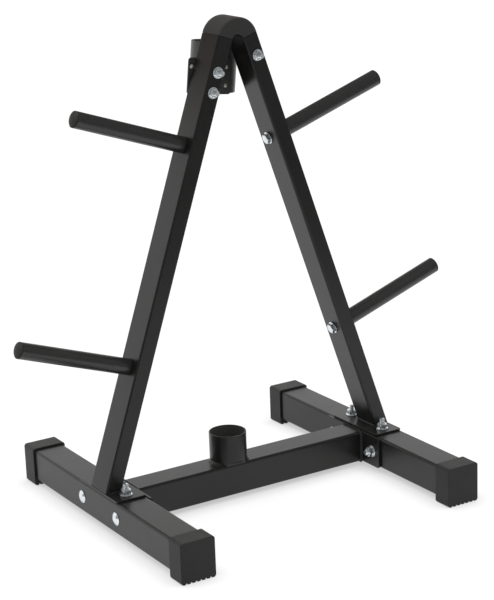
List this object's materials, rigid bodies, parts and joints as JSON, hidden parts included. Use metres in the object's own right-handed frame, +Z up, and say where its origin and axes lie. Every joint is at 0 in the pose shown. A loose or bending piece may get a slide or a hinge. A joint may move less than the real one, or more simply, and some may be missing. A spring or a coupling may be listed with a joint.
{
  "type": "weight plate tree",
  "caption": "A-frame rack of square tube with two legs on long feet, angled storage pegs, a cup and a leaning sleeve that hold a long bar upright.",
  "frame": {"origin": "centre of the footprint on the floor", "axes": "+Z up, X across the frame from the left leg to the right leg, Y along the feet, with the bar sleeve on the +Y side"},
  "size_m": [0.7504, 0.4984, 0.74],
  "materials": {
    "frame_paint": "black powder coat, semi-gloss with a fine grain",
    "sleeve_paint": "dark grey paint, semi-gloss",
    "moulding": "moulded black plastic, matte with a fine texture",
    "zinc": "bright zinc plating",
    "rivet_metal": "dull satin"
  },
  "bodies": {
    "root": {"foot_rail_left": "frame_paint", "foot_rail_right": "frame_paint", "foot_cap_left_front": "moulding", "foot_cap_left_rear": "moulding", "foot_cap_right_front": "moulding", "foot_cap_right_rear": "moulding", "base_plate_left": "frame_paint", "base_plate_right": "frame_paint", "base_bolt_left_front": "zinc", "base_bolt_left_rear": "zinc", "base_bolt_right_front": "zinc", "base_bolt_right_rear": "zinc", "base_nut_left_front": "zinc", "base_nut_left_rear": "zinc", "base_nut_right_front": "zinc", "base_nut_right_rear": "zinc", "cross_tube": "frame_paint", "flange_left": "frame_paint", "flange_right": "frame_paint", "cross_bolt_left_front": "zinc", "cross_bolt_left_rear": "zinc", "cross_bolt_right_front": "zinc", "cross_bolt_right_rear": "zinc", "cross_nut_left_front": "zinc", "cross_nut_left_rear": "zinc", "cross_nut_right_front": "zinc", "cross_nut_right_rear": "zinc", "bar_cup": "frame_paint", "leg_left": "frame_paint", "leg_right": "frame_paint", "arch_joint": "moulding", "top_bolt_left_1": "zinc", "top_bolt_left_2": "zinc", "top_bolt_right": "zinc", "top_nut_left_1": "zinc", "top_nut_left_2": "zinc", "top_nut_right": "zinc", "peg_lower_left": "frame_paint", "peg_lower_right": "frame_paint", "peg_upper_left": "frame_paint", "peg_upper_right": "frame_paint", "peg_plug_lower_left": "moulding", "peg_plug_lower_right": "moulding", "peg_plug_upper_left": "moulding", "peg_plug_upper_right": "moulding", "peg_washer_lower_left": "zinc", "peg_washer_lower_right": "zinc", "peg_washer_upper_left": "zinc", "peg_washer_upper_right": "zinc", "peg_bolt_lower_left": "zinc", "peg_bolt_lower_right": "zinc", "peg_bolt_upper_left": "zinc", "peg_bolt_upper_right": "zinc", "holder_plate": "frame_paint", "holder_tube": "sleeve_paint", "rivet_upper_left": "rivet_metal", "rivet_upper_right": "rivet_metal", "rivet_lower_right": "rivet_metal"}
  },
  "joints": []
}
